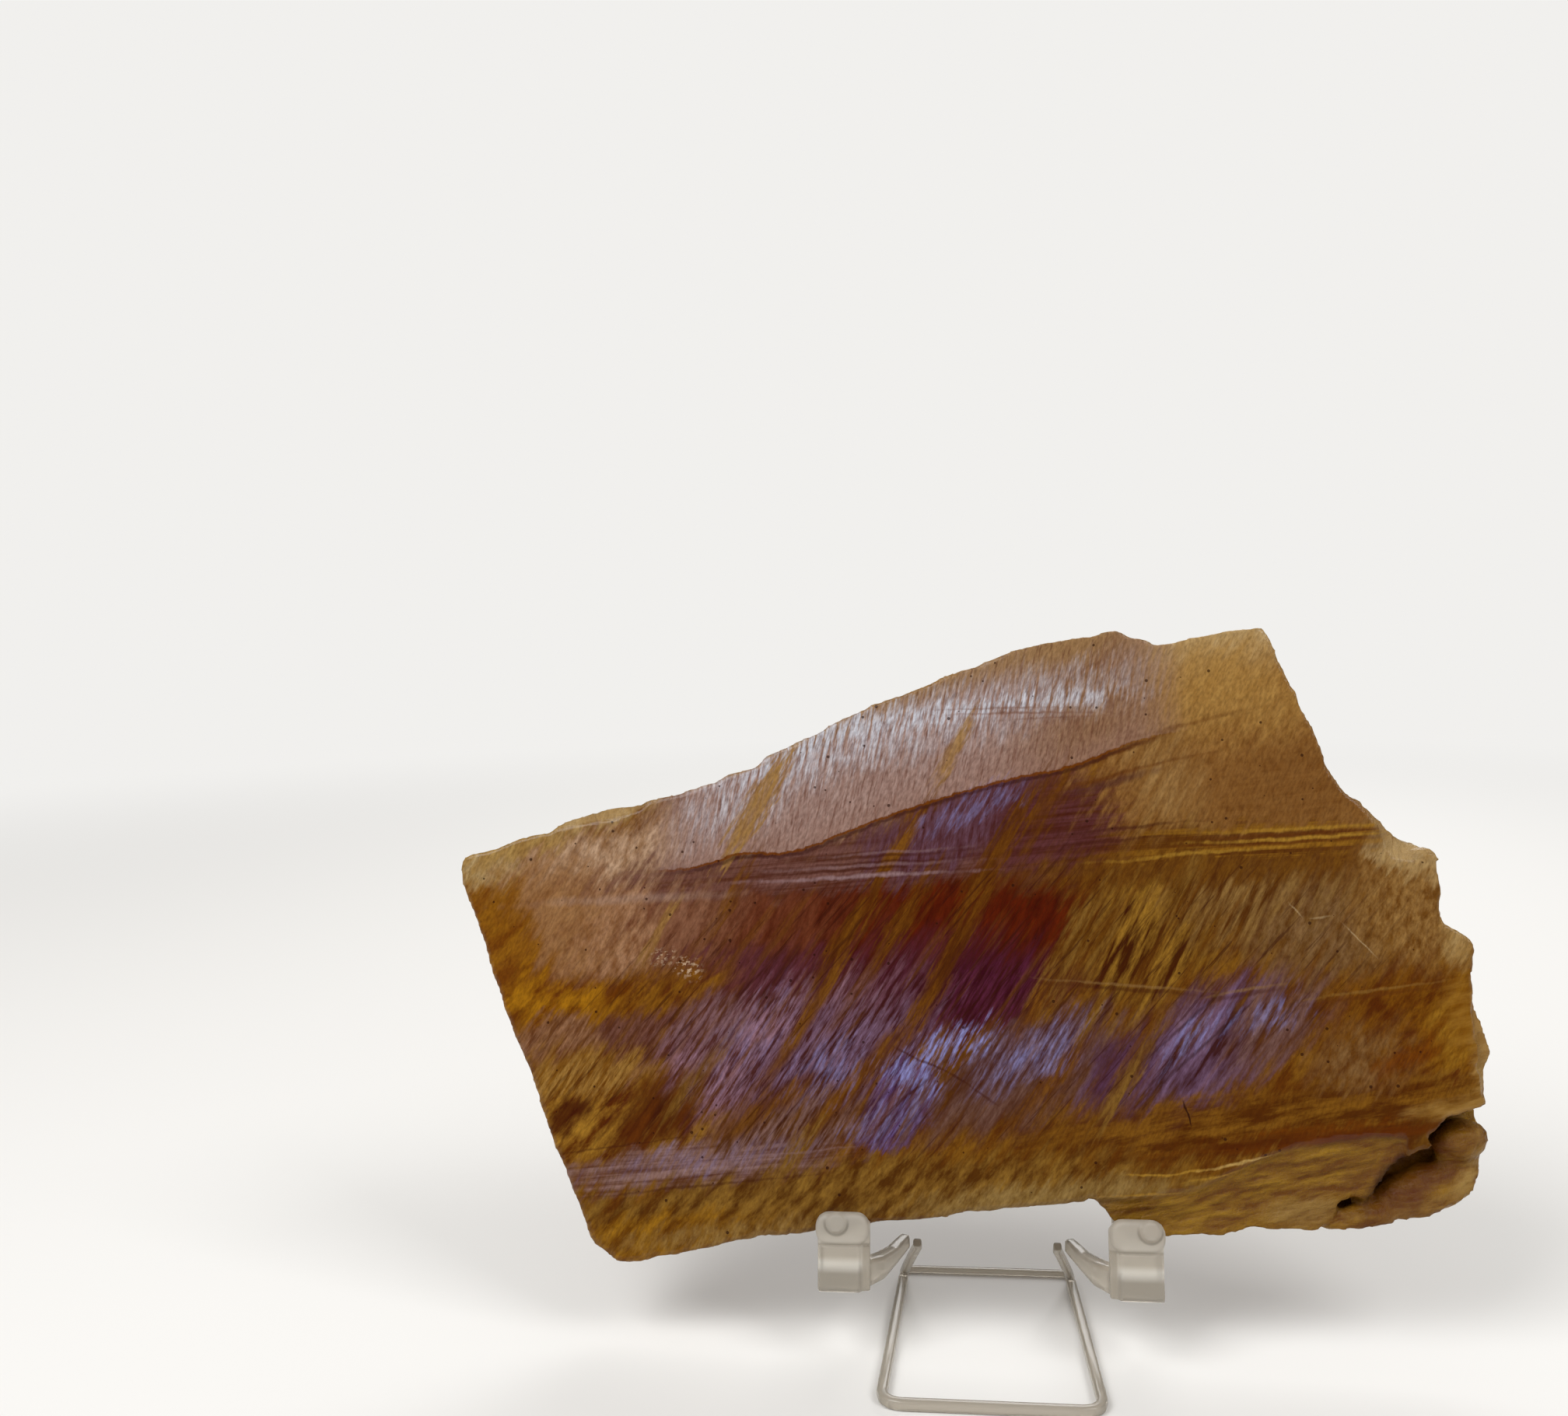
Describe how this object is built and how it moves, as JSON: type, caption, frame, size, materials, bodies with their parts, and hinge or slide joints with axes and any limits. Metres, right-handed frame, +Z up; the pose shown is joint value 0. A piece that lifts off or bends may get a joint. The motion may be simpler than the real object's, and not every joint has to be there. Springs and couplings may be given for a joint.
{
  "type": "polished sunstone slab on an easel",
  "caption": "Irregular polished slab of banded brown and lavender feldspar, leaning back in the padded hooks of a small clear plastic easel.",
  "frame": {"origin": "middle of the whole object's footprint box, on the table", "axes": "+X along the slab, -Y out of the polished front, +Z up"},
  "size_m": [0.15, 0.0453, 0.1023],
  "materials": {
    "sunstone": "polished opaque stone with a lavender sheen and a rough broken rim",
    "clear_plastic": "clear moulded plastic, glossy"
  },
  "bodies": {
    "root": {"slab": "sunstone", "easel_cradle": "clear_plastic", "easel_base": "clear_plastic"}
  },
  "joints": []
}
